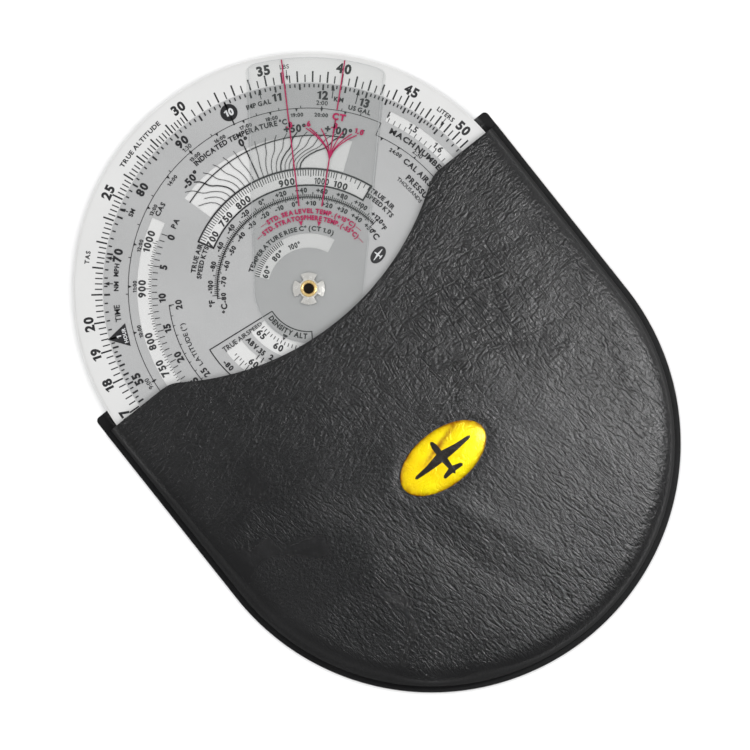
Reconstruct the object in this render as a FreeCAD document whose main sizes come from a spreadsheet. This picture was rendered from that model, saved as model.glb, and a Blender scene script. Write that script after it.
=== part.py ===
"""Circular flight computer in its soft sleeve.

The sleeve lies on its back on the XY plane with its mouth towards +Y and its thickness along +Z. The origin is on the
sleeve's back face, at the centre of its round end: the computer's pivot stands over it when the computer is pushed home.
The computer is a stack of plastic discs on one hollow eyelet. Lengths are in millimetres and angles in degrees, and the
angles of the calculator disc are read clockwise, seen from above, from its index mark.
"""

import math
import os

import FreeCAD
import Part
import Sketcher

DIMENSIONS = {
    # Sleeve, seen from above
    "sleeve_half": 80.6,  # half its width, and the radius of its round end
    "back_top": 73.6,  # Y of the back panel's straight top edge
    "ear_round": 1.5,
    "shoulder": 67.8,  # Y of the front's mouth beside the thumb notch
    "notch_radius": 90.1,
    "notch_floor": 49.9,  # Y of the thumb notch at the middle
    "notch_blend": 10.0,
    # Sleeve, across its thickness
    "vinyl_back": 0.4,
    "board": 0.25,
    "lining": 0.25,
    "lining_half": 78.1,  # half the width of the board and of the back lining
    "vinyl_front": 0.5,
    "padding": 0.5,
    "pocket_top": 6.0,  # Z of the inner face of the front lining
    "crest_half": 73.2,  # half the width over which the front is level
    "crest_radius": 3.5,  # how the inner face of the front turns down at its edge
    "wall_slope": 72.0,
    # Badge on the front
    "badge_long": 16.2,
    "badge_short": 9.0,
    "badge_y": -5.9,
    "badge_height": 0.9,
    "badge_round": 0.6,
    "emblem_height": 0.15,
    # Pivot and hardware
    "pivot_y": 63.9,  # Y of the pivot with the computer partly drawn out
    "bore_radius": 1.7,
    "barrel_radius": 2.0,
    "pivot_hole": 2.06,
    "lip_radius": 2.7,
    "flange_radius": 3.3,
    "flange_back": 1.05,
    "flange_thick": 0.25,
    "lip_low": 5.32,
    "lip_high": 5.75,
    "washer_bore": 2.06,
    "washer_ring": 3.25,
    "washer_radius": 5.2,
    "washer_thick": 0.2,
    "washer_dish": 0.3,  # how far the petals lean towards the discs
    "petal_gap": 28.0,
    "petal_gap_turn": 6.6,  # the middle of the first gap, counter-clockwise from +X
    "washer_front_low": 4.78,
    "washer_back_low": 1.32,
    # Disc stack
    "index_disc_radius": 47.0,
    "index_disc_low": 1.85,
    "index_disc_thick": 0.3,
    "wind_disc_radius": 66.5,
    "wind_disc_low": 2.35,
    "wind_disc_thick": 0.25,
    "base_back_radius": 76.2,
    "base_front_radius": 75.5,
    "base_thick": 0.6,
    "base_low": 2.65,
    "calculator_radius": 66.5,
    "calculator_low": 3.9,
    "calculator_thick": 0.25,
    "cover_thick": 0.15,
    "cover_margin": 0.3,
    "index_turn": 14.0,  # the calculator disc's index mark, clockwise from +Y
    # Cursor
    "cursor_low": 4.35,
    "cursor_thick": 0.4,
    "cursor_turn": 40.3,  # the cursor's middle line, clockwise from +Y
    "cursor_hub": 17.7,
    "cursor_tip_radius": 74.7,
    "cursor_tip_half": 22.8,
    "cursor_corner": 3.0,
}

# The calculator disc's windows: inner radius, outer radius, first angle, last angle
WINDOWS = {
    "airspeed": (51.0, 55.5, -108.0, -41.1),
    "temperature": (39.2, 49.6, -29.6, 40.9),
    "speed": (33.5, 38.4, -42.6, 55.8),
    "rise": (13.2, 17.9, -52.6, 52.4),
    "mach": (59.4, 63.0, 48.9, 82.0),
    "density": (17.6, 23.4, -160.0, -101.5),
    "altitude": (27.4, 33.6, -150.0, -102.5),
}
WINDOW_WORDS = ("inner", "outer", "first", "last")

# Half of the emblem's outline, a plain aeroplane seen from above: shares of the badge's long and short half axes
EMBLEM = [
    (0.0, 0.78), (0.045, 0.62), (0.055, 0.30), (0.70, -0.02), (0.70, -0.20), (0.055, -0.06),
    (0.045, -0.48), (0.24, -0.62), (0.24, -0.74), (0.0, -0.68),
]  # fmt: skip

doc = FreeCAD.newDocument("flight_computer")
sheet = doc.addObject("Spreadsheet::Sheet", "dims")


def fill_sheet():
    """Writes every driving dimension to a cell of its own, under its alias."""
    cells = dict(DIMENSIONS)
    for window, numbers in WINDOWS.items():
        for word, number in zip(WINDOW_WORDS, numbers):
            cells[f"{window}_{word}"] = number
    for row, (alias, number) in enumerate(cells.items(), 1):
        sheet.set(f"A{row}", alias)
        sheet.set(f"B{row}", str(number))
        sheet.setAlias(f"B{row}", alias)
    doc.recompute()


def size(alias):
    return float(getattr(sheet, alias))


def bind(thing, prop, formula):
    thing.setExpression(prop, formula)


def cell(text):
    """A formula with each @ standing for the sheet's name."""
    return text.replace("@", "dims.")


def stacked(*aliases):
    """The sum of some cells, as a number and as a formula."""
    return sum(size(alias) for alias in aliases), " + ".join(f"@{alias}" for alias in aliases)


def new_body(label, y="0", z="0"):
    body = doc.addObject("PartDesign::Body", label)
    body.Label = label
    bind(body, ".Placement.Base.y", cell(y))
    bind(body, ".Placement.Base.z", cell(z))
    return body


def turn_body(body, alias):
    """Turns a body clockwise about its own vertical axis, by an angle of the sheet."""
    body.Placement.Rotation = FreeCAD.Rotation(FreeCAD.Vector(0, 0, -1), size(alias))
    bind(body, ".Placement.Rotation.Angle", f"dims.{alias} * 1 deg")


def origin_plane(body, role):
    return next(feature for feature in body.Origin.OriginFeatures if feature.Role == role)


def new_sketch(body, name, plane="XY_Plane"):
    support = origin_plane(body, plane)
    sketch = body.newObject("Sketcher::SketchObject", name)
    sketch.AttachmentSupport = [(support, "")]
    sketch.MapMode = "FlatFace"
    return sketch


def constrain(sketch, kind, *where, formula=None, value=None):
    """Adds one constraint. With a formula, its value follows the sheet."""
    numbers = [] if value is None else [value]
    index = sketch.addConstraint(Sketcher.Constraint(kind, *where, *numbers))
    if formula:
        bind(sketch, f"Constraints[{index}]", cell(formula))
    return index


ORIGIN = (-1, 1)
START, END, CENTRE = 1, 2, 3
UP = FreeCAD.Vector(0, 0, 1)


def vector(x, y):
    return FreeCAD.Vector(x, y, 0)


def circle(sketch, alias):
    """A circle round the sketch's origin."""
    line = sketch.addGeometry(Part.Circle(vector(0, 0), UP, size(alias)))
    constrain(sketch, "Coincident", line, CENTRE, *ORIGIN)
    constrain(sketch, "Radius", line, value=size(alias), formula=f"@{alias}")
    return line


def place(sketch, line, end, x, y):
    """Holds one end of a line at (x, y), each a pair of its value and its formula, or None on an axis."""
    if x is None:
        constrain(sketch, "PointOnObject", line, end, -2)
    else:
        constrain(sketch, "DistanceX", *ORIGIN, line, end, value=x[0], formula=x[1])
    if y is None:
        constrain(sketch, "PointOnObject", line, end, -1)
    else:
        constrain(sketch, "DistanceY", *ORIGIN, line, end, value=y[0], formula=y[1])


def pad(body, sketch, formula, name="Pad", reverse=False):
    feature = body.newObject("PartDesign::Pad", name)
    feature.Profile = sketch
    bind(feature, "Length", cell(formula))
    feature.Reversed = reverse
    sketch.Visibility = False
    return feature


def cut_through(body, sketch, name):
    """Cuts upwards through the whole body, which stands on the sketch's plane."""
    feature = body.newObject("PartDesign::Pocket", name)
    feature.Profile = sketch
    feature.Type = "ThroughAll"
    feature.Reversed = True
    return feature


def round_edges(body, name, alias, wanted):
    """Fillets those edges of the body's last feature for which wanted(edge) is true."""
    doc.recompute()
    last = body.Tip
    names = [f"Edge{i}" for i, edge in enumerate(last.Shape.Edges, 1) if wanted(edge)]
    feature = body.newObject("PartDesign::Fillet", name)
    feature.Base = (last, names)
    bind(feature, "Radius", f"dims.{alias}")
    return feature


def upright_near(x, y):
    """Picks upright edges at (x, y) or its mirror image, in the body's own frame."""

    def wanted(edge):
        low, high = edge.BoundBox.ZMin, edge.BoundBox.ZMax
        middle = edge.CenterOfMass
        straight = edge.BoundBox.XLength < 0.01 and edge.BoundBox.YLength < 0.01
        return straight and high > low and abs(abs(middle.x) - x) < 0.1 and abs(middle.y - y) < 0.1

    return wanted


# ---------------------------------------------------------------- sleeve


def back_sheet(label, half, top, low, thick):
    """A flat sheet with a round end of radius half and a straight top edge, from the sheet's aliases."""
    body = new_body(label, z=low)
    sketch = new_sketch(body, f"{label}_outline")
    radius, height = size(half), size(top)
    end = sketch.addGeometry(
        Part.ArcOfCircle(Part.Circle(vector(0, 0), UP, radius), math.pi, 2 * math.pi)
    )
    corners = [(radius, 0), (radius, height), (-radius, height), (-radius, 0)]
    right, across, left = (
        sketch.addGeometry(Part.LineSegment(vector(*a), vector(*b))) for a, b in zip(corners, corners[1:])
    )
    constrain(sketch, "Coincident", end, CENTRE, *ORIGIN)
    constrain(sketch, "Coincident", end, END, right, START)
    constrain(sketch, "Coincident", right, END, across, START)
    constrain(sketch, "Coincident", across, END, left, START)
    constrain(sketch, "Coincident", left, END, end, START)
    constrain(sketch, "PointOnObject", end, START, -1)
    constrain(sketch, "PointOnObject", end, END, -1)
    constrain(sketch, "Vertical", right)
    constrain(sketch, "Vertical", left)
    constrain(sketch, "Radius", end, value=radius, formula=f"@{half}")
    constrain(sketch, "DistanceY", *ORIGIN, right, END, value=height, formula=f"@{top}")
    constrain(sketch, "Horizontal", across)
    pad(body, sketch, f"@{thick}")
    return body


def wall_foot(offset, height):
    """X where a face that lies offset outside the pocket's inner face comes down to a height."""
    slope = math.radians(size("wall_slope"))
    radius = size("crest_radius") + offset
    x = size("crest_half") + radius * math.sin(slope)
    z = size("pocket_top") - size("crest_radius") + radius * math.cos(slope)
    return x + (z - height) / math.tan(slope)


def crest_line(sketch, offset, offset_formula, foot):
    """From the middle plane out along the level top, round the crest and down the wall to a height.

    The face lies offset outside the pocket's inner face. Returns the top, the bend and the wall."""
    slope = math.radians(size("wall_slope"))
    radius = size("crest_radius") + offset
    centre = vector(size("crest_half"), size("pocket_top") - size("crest_radius"))
    level = centre.y + radius
    bend_end = vector(centre.x + radius * math.sin(slope), centre.y + radius * math.cos(slope))
    top = sketch.addGeometry(Part.LineSegment(vector(0, level), vector(centre.x, level)))
    turn = Part.ArcOfCircle(Part.Circle(centre, UP, radius), math.pi / 2 - slope, math.pi / 2)
    bend = sketch.addGeometry(turn)
    foot_end = vector(wall_foot(offset, foot[0]), foot[0])
    wall = sketch.addGeometry(Part.LineSegment(bend_end, foot_end))
    constrain(sketch, "PointOnObject", top, START, -2)
    constrain(sketch, "Horizontal", top)
    constrain(sketch, "Tangent", top, END, bend, END)
    constrain(sketch, "Tangent", bend, START, wall, START)
    constrain(sketch, "DistanceX", *ORIGIN, bend, CENTRE, value=centre.x, formula="@crest_half")
    constrain(
        sketch, "DistanceY", *ORIGIN, bend, CENTRE, value=centre.y, formula="@pocket_top - @crest_radius"
    )
    constrain(sketch, "Radius", bend, value=radius, formula=f"@crest_radius + {offset_formula}")
    constrain(sketch, "Angle", wall, value=-slope, formula="-@wall_slope * 1 deg")
    constrain(sketch, "DistanceY", *ORIGIN, wall, END, value=foot[0], formula=foot[1])
    return top, wall


def front_section(sketch, inner, outer, inner_foot, outer_foot, flange):
    """Half the section of one layer of the front, from the middle plane to its foot.

    inner and outer are offsets with their formulas. A layer with a flange runs out level to the sleeve's rim."""
    inner_top, inner_wall = crest_line(sketch, *inner, inner_foot)
    outer_top, outer_wall = crest_line(sketch, *outer, outer_foot)
    inner_end = vector(wall_foot(inner[0], inner_foot[0]), inner_foot[0])
    outer_end = vector(wall_foot(outer[0], outer_foot[0]), outer_foot[0])
    middle = sketch.addGeometry(
        Part.LineSegment(sketch.Geometry[inner_top].StartPoint, sketch.Geometry[outer_top].StartPoint)
    )
    constrain(sketch, "Coincident", middle, START, inner_top, START)
    constrain(sketch, "Coincident", middle, END, outer_top, START)
    corners = [inner_end, outer_end]
    if flange:
        rim = size("sleeve_half")
        corners = [inner_end, vector(rim, inner_end.y), vector(rim, outer_end.y), outer_end]
    foot = [sketch.addGeometry(Part.LineSegment(a, b)) for a, b in zip(corners, corners[1:])]
    constrain(sketch, "Coincident", foot[0], START, inner_wall, END)
    constrain(sketch, "Coincident", foot[-1], END, outer_wall, END)
    for before, after in zip(foot, foot[1:]):
        constrain(sketch, "Coincident", before, END, after, START)
    if flange:
        constrain(sketch, "Horizontal", foot[0])
        constrain(sketch, "Vertical", foot[1])
        constrain(sketch, "Horizontal", foot[2])
        constrain(sketch, "DistanceX", *ORIGIN, foot[1], START, value=rim, formula="@sleeve_half")


def front_layer(label, inner, outer, inner_foot, outer_foot, flange=False):
    """One layer of the sleeve's front: straight sides, a round end and a thumb notch in the mouth."""
    body = new_body(label)
    sections = []
    for part in ("side", "end"):
        section = new_sketch(body, f"{label}_{part}_section", "XZ_Plane")
        front_section(section, inner, outer, inner_foot, outer_foot, flange)
        sections.append(section)
    doc.recompute()
    side = pad(body, sections[0], "@shoulder", f"{label}_side", reverse=True)
    doc.recompute()
    mirror = body.newObject("PartDesign::Mirrored", f"{label}_mirror")
    mirror.Originals = [side]
    mirror.MirrorPlane = (origin_plane(body, "YZ_Plane"), [""])
    body.Tip = mirror
    doc.recompute()
    end = body.newObject("PartDesign::Revolution", f"{label}_end")
    end.Profile = sections[1]
    end.ReferenceAxis = (sections[1], ["V_Axis"])
    end.Angle = 180
    end.Reversed = True
    doc.recompute()
    cut_thumb_notch(body, label)
    return body


def cut_thumb_notch(body, label):
    """Cuts the round notch out of the mouth, and blends its two ends into the shoulders."""
    radius = size("notch_radius")
    centre_y = size("notch_floor") + radius
    notch = new_sketch(body, f"{label}_notch")
    ring = notch.addGeometry(Part.Circle(vector(0, centre_y), UP, radius))
    constrain(notch, "PointOnObject", ring, CENTRE, -2)
    constrain(notch, "Radius", ring, value=radius, formula="@notch_radius")
    constrain(
        notch, "DistanceY", *ORIGIN, ring, CENTRE, value=centre_y, formula="@notch_floor + @notch_radius"
    )
    cut_through(body, notch, f"{label}_thumb_notch")
    corner = math.sqrt(radius**2 - (centre_y - size("shoulder")) ** 2)
    round_edges(body, f"{label}_blend", "notch_blend", upright_near(corner, size("shoulder")))


def make_sleeve():
    panel = back_sheet("sleeve_back_panel", "sleeve_half", "back_top", "0", "vinyl_back")
    round_edges(panel, "ears", "ear_round", upright_near(size("sleeve_half"), size("back_top")))
    back_sheet("sleeve_back_board", "lining_half", "shoulder", "@vinyl_back", "board")
    back_sheet("sleeve_back_lining", "lining_half", "shoulder", "@vinyl_back + @board", "lining")
    floor = stacked("vinyl_back", "board", "lining")
    inside = (0.0, "0")
    lined = stacked("lining")
    padded = stacked("lining", "padding")
    front_layer("sleeve_front_lining", inside, lined, floor, floor)
    front_layer("sleeve_front_padding", lined, padded, floor, floor)
    front_layer(
        "sleeve_front_panel",
        padded,
        stacked("lining", "padding", "vinyl_front"),
        stacked("vinyl_back"),
        stacked("vinyl_back", "vinyl_front"),
        flange=True,
    )


def make_badge():
    _, low = stacked("pocket_top", "lining", "padding", "vinyl_front")
    long_half, short_half = size("badge_long"), size("badge_short")
    badge = new_body("badge", y="@badge_y", z=low)
    sketch = new_sketch(badge, "badge_outline")
    oval = Part.Ellipse(vector(long_half, 0), vector(0, short_half), vector(0, 0))
    line = sketch.addGeometry(oval)
    sketch.exposeInternalGeometry(line)
    constrain(sketch, "Coincident", line, CENTRE, *ORIGIN)
    major, minor = line + 1, line + 2
    constrain(sketch, "Horizontal", major)
    constrain(sketch, "Distance", major, value=2 * long_half, formula="2 * @badge_long")
    constrain(sketch, "Distance", minor, value=2 * short_half, formula="2 * @badge_short")
    pad(badge, sketch, "@badge_height")
    top = size("badge_height")
    round_edges(badge, "badge_edge", "badge_round", lambda edge: abs(edge.BoundBox.ZMin - top) < 0.01)

    emblem = new_body("badge_emblem", y="@badge_y", z=f"{low} + @badge_height")
    sketch = new_sketch(emblem, "emblem_outline")
    shares = EMBLEM + [(-x, y) for x, y in reversed(EMBLEM) if x > 0]
    points = [vector(x * long_half, y * short_half) for x, y in shares]
    lines = [
        sketch.addGeometry(Part.LineSegment(a, b)) for a, b in zip(points, points[1:] + points[:1])
    ]
    for before, after in zip(lines, lines[1:] + lines[:1]):
        constrain(sketch, "Coincident", before, END, after, START)
    for line, (x, y), point in zip(lines, shares, points):
        across = None if x == 0 else (point.x, f"{x} * @badge_long")
        place(sketch, line, START, across, (point.y, f"{y} * @badge_short"))
    pad(emblem, sketch, "@emblem_height")


# ---------------------------------------------------------------- computer


def plain_disc(label, radius, low, thick):
    """A flat disc with the pivot's hole."""
    body = new_body(label, y="@pivot_y", z=low)
    sketch = new_sketch(body, f"{label}_outline")
    circle(sketch, radius)
    circle(sketch, "pivot_hole")
    pad(body, sketch, thick)
    return body


def sector(sketch, names, begin, finish):
    """A ring sector between two radii and two angles, read clockwise from the sketch's Y axis."""
    inner, outer = (size(n) for n in names[:2])
    low, high = math.radians(90 - finish[0]), math.radians(90 - begin[0])
    arcs = [
        sketch.addGeometry(Part.ArcOfCircle(Part.Circle(vector(0, 0), UP, r), low, high))
        for r in (inner, outer)
    ]

    def spot(radius, angle):
        return vector(radius * math.cos(angle), radius * math.sin(angle))

    sides = [
        sketch.addGeometry(Part.LineSegment(spot(inner, angle), spot(outer, angle))) for angle in (low, high)
    ]
    for arc, alias, radius in zip(arcs, names, (inner, outer)):
        constrain(sketch, "Coincident", arc, CENTRE, *ORIGIN)
        constrain(sketch, "Radius", arc, value=radius, formula=f"@{alias}")
    for side, end, angle, formula in (
        (sides[0], START, low, finish[1]),
        (sides[1], END, high, begin[1]),
    ):
        constrain(sketch, "Coincident", arcs[0], end, side, START)
        constrain(sketch, "Coincident", arcs[1], end, side, END)
        constrain(sketch, "Angle", side, value=angle, formula=f"(90 - {formula}) * 1 deg")
        ray = sketch.addGeometry(Part.LineSegment(vector(0, 0), spot(inner, angle)), True)
        constrain(sketch, "Coincident", ray, START, *ORIGIN)
        constrain(sketch, "Coincident", ray, END, side, START)
        constrain(sketch, "Parallel", ray, side)


def make_calculator_disc():
    """The grey disc with its windows, and the clear film that covers it."""
    body = plain_disc("calculator_disc", "calculator_radius", "@calculator_low", "@calculator_thick")
    turn_body(body, "index_turn")
    for window, (_, _, first, last) in WINDOWS.items():
        sketch = new_sketch(body, f"{window}_outline")
        names = (f"{window}_inner", f"{window}_outer")
        sector(sketch, names, (first, f"@{window}_first"), (last, f"@{window}_last"))
        cut_through(body, sketch, f"{window}_window")
    cover_film("calculator_cover", "calculator_radius", "@calculator_low + @calculator_thick")


def cover_film(label, radius, low):
    """A clear film that ends just inside the rim of the disc under it."""
    film = new_body(label, y="@pivot_y", z=low)
    sketch = new_sketch(film, f"{label}_outline")
    rim = size(radius) - size("cover_margin")
    edge = sketch.addGeometry(Part.Circle(vector(0, 0), UP, rim))
    constrain(sketch, "Coincident", edge, CENTRE, *ORIGIN)
    constrain(sketch, "Radius", edge, value=rim, formula=f"@{radius} - @cover_margin")
    circle(sketch, "pivot_hole")
    pad(film, sketch, "@cover_thick")


def make_cursor():
    """A clear paddle: a round hub at the pivot and two straight sides that spread to an arc near the rim."""
    body = new_body("cursor", y="@pivot_y", z="@cursor_low")
    turn_body(body, "cursor_turn")
    hub, tip, half = size("cursor_hub"), size("cursor_tip_radius"), size("cursor_tip_half")
    tip_y = math.sqrt(tip**2 - half**2)
    reach = math.hypot(half, tip_y)
    lean = math.atan2(half, tip_y)
    # The side touches the hub where the hub's radius is square to it.
    angle = math.pi / 2 - lean - math.acos(hub / reach)
    spot = vector(hub * math.cos(angle), hub * math.sin(angle))
    sketch = new_sketch(body, "cursor_outline")
    top = sketch.addGeometry(
        Part.ArcOfCircle(Part.Circle(vector(0, 0), UP, tip), math.pi / 2 - lean, math.pi / 2 + lean)
    )
    bottom = sketch.addGeometry(
        Part.ArcOfCircle(Part.Circle(vector(0, 0), UP, hub), math.pi - angle, 2 * math.pi + angle)
    )
    right = sketch.addGeometry(Part.LineSegment(spot, vector(half, tip_y)))
    left = sketch.addGeometry(Part.LineSegment(vector(-spot.x, spot.y), vector(-half, tip_y)))
    for arc, alias in ((top, "cursor_tip_radius"), (bottom, "cursor_hub")):
        constrain(sketch, "Coincident", arc, CENTRE, *ORIGIN)
        constrain(sketch, "Radius", arc, value=size(alias), formula=f"@{alias}")
    constrain(sketch, "Tangent", bottom, END, right, START)
    constrain(sketch, "Tangent", bottom, START, left, START)
    constrain(sketch, "Coincident", right, END, top, START)
    constrain(sketch, "Coincident", left, END, top, END)
    constrain(sketch, "DistanceX", *ORIGIN, right, END, value=half, formula="@cursor_tip_half")
    constrain(sketch, "DistanceX", left, END, *ORIGIN, value=half, formula="@cursor_tip_half")
    circle(sketch, "pivot_hole")
    pad(body, sketch, "@cursor_thick")
    round_edges(body, "cursor_corners", "cursor_corner", upright_near(half, tip_y))


def make_eyelet():
    """The hollow brass eyelet: a flat flange behind, a barrel, and a lip rolled over in front."""
    body = new_body("eyelet", y="@pivot_y")
    sketch = new_sketch(body, "eyelet_section", "XZ_Plane")
    bore, barrel = (size("bore_radius"), "@bore_radius"), (size("barrel_radius"), "@barrel_radius")
    lip, flange = (size("lip_radius"), "@lip_radius"), (size("flange_radius"), "@flange_radius")
    back = (size("flange_back"), "@flange_back")
    seat = (back[0] + size("flange_thick"), "@flange_back + @flange_thick")
    low, high = (size("lip_low"), "@lip_low"), (size("lip_high"), "@lip_high")
    corners = [(bore, back), (flange, back), (flange, seat), (barrel, seat), (barrel, low), (lip, low)]
    points = [vector(x[0], z[0]) for x, z in corners]
    lines = [sketch.addGeometry(Part.LineSegment(a, b)) for a, b in zip(points, points[1:])]
    crown = vector((bore[0] + lip[0]) / 2, high[0])
    roll = sketch.addGeometry(Part.Arc(vector(lip[0], low[0]), crown, vector(bore[0], low[0])))
    wall = sketch.addGeometry(Part.LineSegment(vector(bore[0], low[0]), vector(bore[0], back[0])))
    for before, after in zip(lines, lines[1:]):
        constrain(sketch, "Coincident", before, END, after, START)
    constrain(sketch, "Coincident", lines[-1], END, roll, START)
    constrain(sketch, "Coincident", roll, END, wall, START)
    constrain(sketch, "Coincident", wall, END, lines[0], START)
    for line, (x, z) in zip(lines, corners):
        place(sketch, line, START, x, z)
    place(sketch, lines[-1], END, lip, low)
    place(sketch, wall, START, bore, low)
    half = (lip[0] - bore[0]) / 2
    rise = high[0] - low[0]
    constrain(
        sketch,
        "Radius",
        roll,
        value=(half**2 + rise**2) / (2 * rise),
        formula="((@lip_radius - @bore_radius)^2 / 4 + (@lip_high - @lip_low)^2) / (2 * (@lip_high - @lip_low))",
    )
    spin = body.newObject("PartDesign::Revolution", "eyelet_turned")
    spin.Profile = sketch
    spin.ReferenceAxis = (sketch, ["V_Axis"])
    spin.Angle = 360


def make_washer(label, low_alias, towards):
    """A dished spring washer with four petals. towards is 1 if the ring stands above the petals' tips."""
    body = new_body(label, y="@pivot_y", z=f"@{low_alias}")
    sketch = new_sketch(body, f"{label}_section", "XZ_Plane")
    bore, radius = (size("washer_bore"), "@washer_bore"), (size("washer_radius"), "@washer_radius")
    ring = (size("washer_ring"), "@washer_ring")
    dish, thick = size("washer_dish"), size("washer_thick")
    low, low_top = None, (thick, "@washer_thick")
    high, high_top = (dish, "@washer_dish"), (dish + thick, "@washer_dish + @washer_thick")
    inner, inner_top = (high, high_top) if towards > 0 else (low, low_top)
    outer, outer_top = (low, low_top) if towards > 0 else (high, high_top)
    corners = [
        (bore, inner), (ring, inner), (radius, outer), (radius, outer_top), (ring, inner_top), (bore, inner_top),
    ]  # fmt: skip
    points = [vector(x[0], z[0] if z else 0) for x, z in corners]
    lines = [
        sketch.addGeometry(Part.LineSegment(a, b)) for a, b in zip(points, points[1:] + points[:1])
    ]
    for before, after in zip(lines, lines[1:] + lines[:1]):
        constrain(sketch, "Coincident", before, END, after, START)
    for line, (x, z) in zip(lines, corners):
        place(sketch, line, START, x, z)
    spin = body.newObject("PartDesign::Revolution", f"{label}_turned")
    spin.Profile = sketch
    spin.ReferenceAxis = (sketch, ["V_Axis"])
    spin.Angle = 360
    doc.recompute()
    gap = new_sketch(body, f"{label}_gap_outline")
    inner, outer = "@washer_ring", "(@washer_radius + 1)"
    lengths = {inner: size("washer_ring"), outer: size("washer_radius") + 1}
    wedge = []
    for radius_formula, sign in ((inner, -1), (outer, -1), (outer, 1), (inner, 1)):
        angle = math.radians(size("petal_gap_turn") + sign * size("petal_gap") / 2)
        angle_formula = f"(@petal_gap_turn + {sign} * @petal_gap / 2) * 1 deg"
        reach = lengths[radius_formula]
        x = (reach * math.cos(angle), f"{radius_formula} * cos({angle_formula})")
        y = (reach * math.sin(angle), f"{radius_formula} * sin({angle_formula})")
        wedge.append((x, y))
    points = [vector(x[0], y[0]) for x, y in wedge]
    sides = [gap.addGeometry(Part.LineSegment(a, b)) for a, b in zip(points, points[1:] + points[:1])]
    for before, after in zip(sides, sides[1:] + sides[:1]):
        constrain(gap, "Coincident", before, END, after, START)
    for side, (x, y) in zip(sides, wedge):
        place(gap, side, START, x, y)
    notch = cut_through(body, gap, f"{label}_gap")
    doc.recompute()
    pattern = body.newObject("PartDesign::PolarPattern", f"{label}_gaps")
    pattern.Originals = [notch]
    pattern.Axis = (gap, ["N_Axis"])
    pattern.Angle = 360
    pattern.Occurrences = 4
    body.Tip = pattern


def make_computer():
    plain_disc("wind_index_disc", "index_disc_radius", "@index_disc_low", "@index_disc_thick")
    plain_disc("wind_disc", "wind_disc_radius", "@wind_disc_low", "@wind_disc_thick")
    cover_film("wind_disc_cover", "wind_disc_radius", "@wind_disc_low - @cover_thick")
    plain_disc("base_disc_back", "base_back_radius", "@base_low", "@base_thick")
    plain_disc("base_disc_front", "base_front_radius", "@base_low + @base_thick", "@base_thick")
    make_calculator_disc()
    make_cursor()
    make_eyelet()
    make_washer("spring_washer_front", "washer_front_low", 1)
    make_washer("spring_washer_back", "washer_back_low", -1)


def check_and_write():
    """Stops if any object failed, then writes each sub-part's shape to its own file."""
    doc.recompute()
    failed = [o.Label for o in doc.Objects if {"Invalid", "Error"} & set(o.State)]
    if failed:
        raise RuntimeError(f"these objects failed: {failed}")
    os.makedirs("parts", exist_ok=True)
    for part in doc.Objects:
        if part.TypeId not in ("PartDesign::Body", "Part::Feature"):
            continue
        shape = part.Shape
        if shape.isNull() or not shape.isValid() or not shape.Solids:
            raise RuntimeError(f"{part.Label} has no valid solid")
        box = shape.BoundBox
        print(f"{part.Label:22s} {shape.Volume:10.2f} mm3  X {box.XMin:7.2f} {box.XMax:7.2f}", end="")
        print(f"  Y {box.YMin:7.2f} {box.YMax:7.2f}  Z {box.ZMin:5.2f} {box.ZMax:5.2f}")
        shape.exportStep(f"parts/{part.Label}.step")


fill_sheet()
make_sleeve()
make_badge()
make_computer()
check_and_write()
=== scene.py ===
"""Looks for the circular flight computer in its soft sleeve.

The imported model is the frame: +Z comes out of the sleeve's front, +Y points along the sleeve to its mouth,
and the origin is on the back face at the centre of the sleeve's round end. Shapes are worked out in
millimetres and scaled once, when a mesh is made. Angles on the dials are in degrees, clockwise seen from
above, from a dial's own zero.
"""

from math import acos, atan2, ceil, cos, degrees, exp, hypot, log10, pi, radians, sin, sqrt

import bmesh
import bpy
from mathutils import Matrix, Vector, noise


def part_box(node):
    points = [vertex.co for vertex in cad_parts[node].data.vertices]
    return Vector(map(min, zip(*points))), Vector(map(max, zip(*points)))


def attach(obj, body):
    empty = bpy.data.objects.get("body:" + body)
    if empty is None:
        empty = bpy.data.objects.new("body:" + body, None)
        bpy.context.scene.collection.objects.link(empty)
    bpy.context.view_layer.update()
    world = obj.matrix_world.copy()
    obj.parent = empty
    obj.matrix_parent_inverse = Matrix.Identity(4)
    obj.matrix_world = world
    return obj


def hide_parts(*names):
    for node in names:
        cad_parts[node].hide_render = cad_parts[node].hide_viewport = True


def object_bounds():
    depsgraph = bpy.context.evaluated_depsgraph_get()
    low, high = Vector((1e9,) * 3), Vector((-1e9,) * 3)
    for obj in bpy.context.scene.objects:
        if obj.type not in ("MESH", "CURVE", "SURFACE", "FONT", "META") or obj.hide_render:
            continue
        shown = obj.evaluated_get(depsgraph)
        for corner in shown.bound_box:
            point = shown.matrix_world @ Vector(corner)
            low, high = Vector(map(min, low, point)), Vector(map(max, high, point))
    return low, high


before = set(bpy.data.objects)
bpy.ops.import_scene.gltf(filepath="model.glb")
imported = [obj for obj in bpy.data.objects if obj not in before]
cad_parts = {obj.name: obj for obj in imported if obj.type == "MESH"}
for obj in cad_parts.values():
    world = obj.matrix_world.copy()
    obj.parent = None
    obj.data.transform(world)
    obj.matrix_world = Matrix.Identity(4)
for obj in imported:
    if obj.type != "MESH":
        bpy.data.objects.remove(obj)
cad_box = [list(corner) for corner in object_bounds()]

MM = 0.001


def corner_mm(node):
    """A CAD node's lowest and highest corners, in millimetres."""
    low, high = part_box(node)
    return low / MM, high / MM


# ---- sizes from the frame

panel_low, panel_high = corner_mm("sleeve_front_panel")
back_low, back_high = corner_mm("sleeve_back_panel")
lining_low, lining_high = corner_mm("sleeve_back_lining")
badge_low, badge_high = corner_mm("badge")
eyelet_low, eyelet_high = corner_mm("eyelet")

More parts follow.
